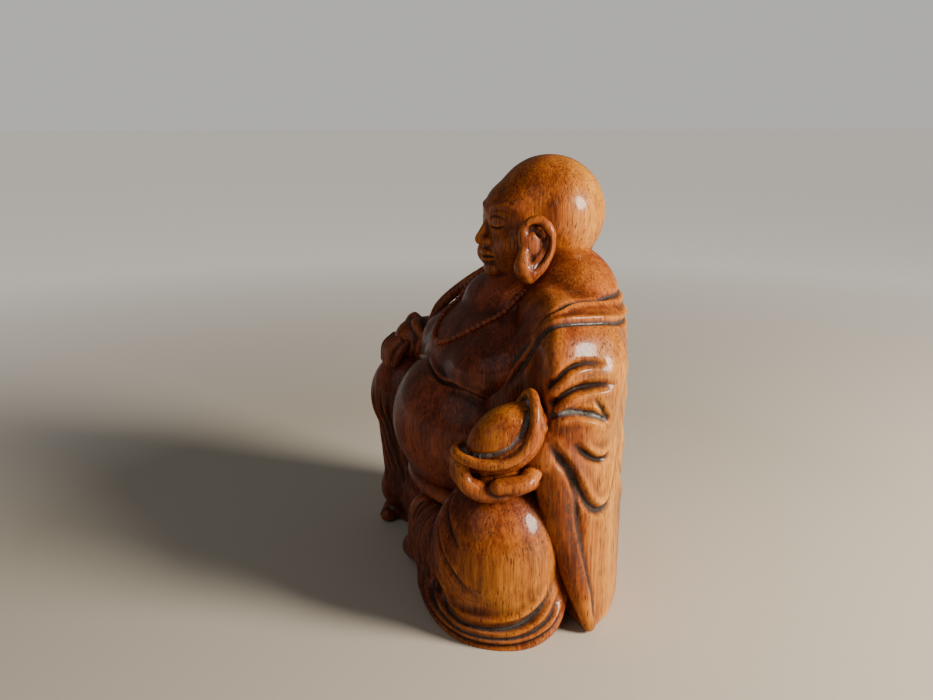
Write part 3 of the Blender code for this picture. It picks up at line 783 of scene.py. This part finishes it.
def carveRightFoot():
    skins = [
        limb([(-68, -30, 14), (-68, -42, 10), (-69, -49, 7)], [14, 12.5, 9], flat=0.85),
        *[ball((-62.5 - 4.1*i, -56.2 + 1.1*abs(i - 0.6), 4.6 - 0.4*i), (2.9 - 0.22*i, 5.0 - 0.3*i, 4.2 - 0.4*i))
          for i in range(5)],
    ]
    c = Carving("carved_right_foot", [], skins, grain=0.7, ease=3)
    return c.finish("right_foot", material=darkWood, slot="dark_stain")


def carveLeftHand():
    skins = [
        ball((82, -25, 85), (13, 21, 8), turn=(4, 0, 0)),
        limb([(82, -2, 94), (82, -12, 88)], [11, 10]),
        *[limb([(76 + 4.2*i, -30, 82), (76 + 4.2*i, -40, 82 + i*0.4), (76 + 3.6*i, -47.5, 88),
                (76 + 3.2*i, -49.5, 96)], [5.4, 5.2, 4.4, 3.4], steps=30) for i in range(4)],
        limb([(91, -15, 90.5), (95, -21, 87.5), (94, -33, 87)], [5.0, 5.2, 4.8], flat=0.85),
    ]
    c = Carving("carved_left_hand", [], skins, grain=0.7, ease=3)
    # a little darker all over, and painted shade under the hand
    c.shade += 0.15
    c.darkened((86, -26, 78), (30, 40, 10), 0.45)
    return c.finish("left_hand", material=warmWood, slot="warm_stain", level=None)


def carveRightHand():
    skins = [
        ball((-76, -39, 122), (11, 9.5, 6), turn=(40, 0, 0)),
        *[limb([(-68.5 - 5*i, -44, 121), (-69 - 5*i, -50, 115.5), (-69.5 - 4.8*i, -51.5, 107 - i*(3 - i)*0.7)],
               [3.4, 3.2, 2.6], steps=26) for i in range(4)],
        limb([(-66, -39, 121), (-64, -45, 115), (-63, -49, 108)], [3.6, 3.2, 2.8], steps=26),
    ]
    c = Carving("carved_right_hand", [], skins, grain=0.7, ease=3)
    return c.finish("right_hand", material=darkWood, slot="dark_stain", level=None)


ingotShape = {
    "centre": (84.5, -25, 106), "halfLength": 23, "halfWidth": 16, "rise": 13, "rim": 2.7,
    "tip": 37, "lean": 10, "yaw": -10,  # nose down, face out and swing, in degrees
}


def carveIngot():
    # a boat: its rim an ellipse whose height goes with the square of the way along, with a hull under it and
    # a dome inside
    g = ingotShape

    def place(skin):
        return turned(turned(skin[0], (0, g["lean"], 0)), (g["tip"], 0, g["yaw"])) + g["centre"], skin[1]

    t = np.linspace(0, 2*math.pi, 61)
    rim = np.stack([g["halfWidth"]*np.cos(t), g["halfLength"]*np.sin(t), g["rise"]*np.sin(t)**2], -1)
    skins = [
        limb(rim, [g["rim"]]*61, steps=160, spokes=16),
        ball((0, 0, 0), (g["halfWidth"], g["halfLength"] - 3, 13)),
        ball((0, 0, 3), (13.4, 21.5, 15.5)),
        limb([(0, g["halfLength"] - 9, 0), (0, g["halfLength"] - 1, g["rise"] - 1)], [9, 2.8]),
        limb([(0, 9 - g["halfLength"], 0), (0, 1 - g["halfLength"], g["rise"] - 1)], [9, 2.8]),
    ]
    c = Carving("carved_ingot", [], [place(s) for s in skins], grain=0.6, ease=4)
    hollowLine = np.stack([0.8*g["halfWidth"]*np.cos(t), 0.84*g["halfLength"]*np.sin(t),
                           5 + 0.6*g["rise"]*np.sin(t)**2], -1)
    c.cut([dict(points=place((hollowLine, None))[0], depth=1.2, width=2.2, dust=1.0, stain=0.6, fade=(0, 0))])
    # a little darker all over; painted shade under the boat and a painted highlight of gold on its top
    c.shade += 0.12
    c.darkened((84, -25, 92), (26, 34, 10), 0.4)
    c.darkened((82, -28, 118), (10, 16, 6), -0.5)
    return c.finish("ingot", material=warmWood, slot="warm_stain", level=None)


waistbandShape = {"halfWidth": 57, "halfDepth": 46, "back": -4, "height": 53, "rise": 4, "thickness": 4.4}


def carveWaistband():
    # a roll along the front of an ellipse, a little higher in the middle
    w = waistbandShape
    u = np.radians(np.linspace(198, 342, 15))
    line = np.stack([w["halfWidth"]*np.cos(u), w["back"] + w["halfDepth"]*np.sin(u),
                     w["height"] - w["rise"]*np.sin(u)], -1)
    c = Carving("carved_waistband", [], [limb(line, [w["thickness"]]*15, steps=100)], grain=0.8)
    return c.finish("waistband", material=darkWood, slot="dark_stain", level=None)


def carveNecklace(torso):
    # a string laid on the chest, with a bead at every even step along it
    n = necklaceShape
    line, normals = torso
    string = smoothPath((line + 0.5*normals)[::10], 900)
    along = np.concatenate([[0], np.cumsum(np.linalg.norm(np.diff(string, axis=0), axis=1))])
    count = int(along[-1]/n["spacing"])
    at = np.searchsorted(along, np.linspace(0, along[-1], count, endpoint=False))
    skins = [limb(string[::6], n["string"], steps=300, spokes=8)]
    skins += [ball(string[i], [n["bead"]*(1.5 if k == count//2 else 1)]*3, rings=8, spokes=12)
              for k, i in enumerate(at)]
    c = Carving("carved_beads", [], skins, grain=0.5, ease=1)
    return c.finish("necklace", material=darkWood, slot="dark_stain", level=None)


necklaceShape = {
    "bead": 1.75, "spacing": 3.2, "string": 0.9,
    "loop": [(29, 6, 171), (33, -6, 163), (31, -17, 154), (25, -27, 146), (14, -35, 140), (2, -39, 138),
             (-9, -36, 140), (-17, -28, 146), (-20, -18, 154), (-20, -6, 164), (-17, 4, 171)],
}


carveRobe()
carveHead()
torsoLine = carveTorso()
carveNecklace(torsoLine)
carveLeftLeg()
carveRightLeg()
carveLeftFoot()
carveRightFoot()
carveLeftHand()
carveRightHand()
carveIngot()
carveWaistband()


def layFloor():
    # a wide pale floor that glows faintly away from the figure, as if a lit wall stood all round
    mesh = bpy.data.meshes.new("floor")
    mesh.from_pydata([(-40, -40, 0), (40, -40, 0), (40, 40, 0), (-40, 40, 0)], [], [(0, 1, 2, 3)])
    floor = bpy.data.objects.new("floor", mesh)
    bpy.context.scene.collection.objects.link(floor)
    m = Nodes("pale floor")
    place = m.add("ShaderNodeTexCoord", out=3)
    away = m.add("ShaderNodeVectorMath", {"operation": "LENGTH"}, out=1, i0=place)
    glow = m.add("ShaderNodeValToRGB", {"stops": [(0.0, (0, 0, 0)), (1.0, (0.47, 0.44, 0.40))]},
                 Fac=((away - 0.3)*1.1).clamp())
    m.feed(m.shader.inputs["Emission Color"], glow)
    m.shader.inputs["Emission Strength"].default_value = 1.0
    m.shader.inputs["Base Color"].default_value = (0.52, 0.46, 0.375, 1)
    m.shader.inputs["Roughness"].default_value = 0.6
    mesh.materials.append(m.material)


def softLight(name, place, aim, size, power, colour):
    # a round lamp turned to face the point it aims at
    data = bpy.data.lights.new(name, "AREA")
    data.shape, data.size, data.energy, data.color = "DISK", size, power, colour
    light = bpy.data.objects.new(name, data)
    light.location = place
    way = np.array(aim, float) - np.array(place, float)
    light.rotation_euler = (math.atan2(math.hypot(way[0], way[1]), -way[2]), 0, math.atan2(-way[0], way[1]))
    bpy.context.scene.collection.objects.link(light)


studio = {
    "backdrop": (0.80, 0.79, 0.76), "light": 0.15,
    "seenBrighter": 0.52,  # how much brighter the backdrop looks than the light it gives
    "camera": (0.459, -0.161, 0.255), "tilt": -14.56, "swing": 73, "lens": 33.57,
}

layFloor()
softLight("window", (0.66, 0.74, 0.48), (0, 0, 0.12), 0.40, 31, (1.0, 0.93, 0.82))
softLight("room", (0.7, -0.9, 0.9), (0, 0, 0.1), 1.2, 2.2, (0.95, 0.97, 1.0))
world = bpy.data.worlds.new("studio")
world.use_nodes = True
background = world.node_tree.nodes["Background"]
background.inputs["Color"].default_value = (*studio["backdrop"], 1)
seen = world.node_tree.nodes.new("ShaderNodeLightPath")
strength = world.node_tree.nodes.new("ShaderNodeMath")
strength.operation = "MULTIPLY_ADD"
strength.inputs[1].default_value = studio["seenBrighter"]
strength.inputs[2].default_value = studio["light"]
world.node_tree.links.new(seen.outputs["Is Camera Ray"], strength.inputs[0])
world.node_tree.links.new(strength.outputs[0], background.inputs["Strength"])
bpy.context.scene.world = world

cameraData = bpy.data.cameras.new("camera")
cameraData.sensor_width = 36
cameraData.lens = studio["lens"]
camera = bpy.data.objects.new("camera", cameraData)
camera.location = studio["camera"]
camera.rotation_euler = (math.radians(90 + studio["tilt"]), 0, math.radians(studio["swing"]))
bpy.context.scene.collection.objects.link(camera)
bpy.context.scene.camera = camera
print("floor, light and camera placed")
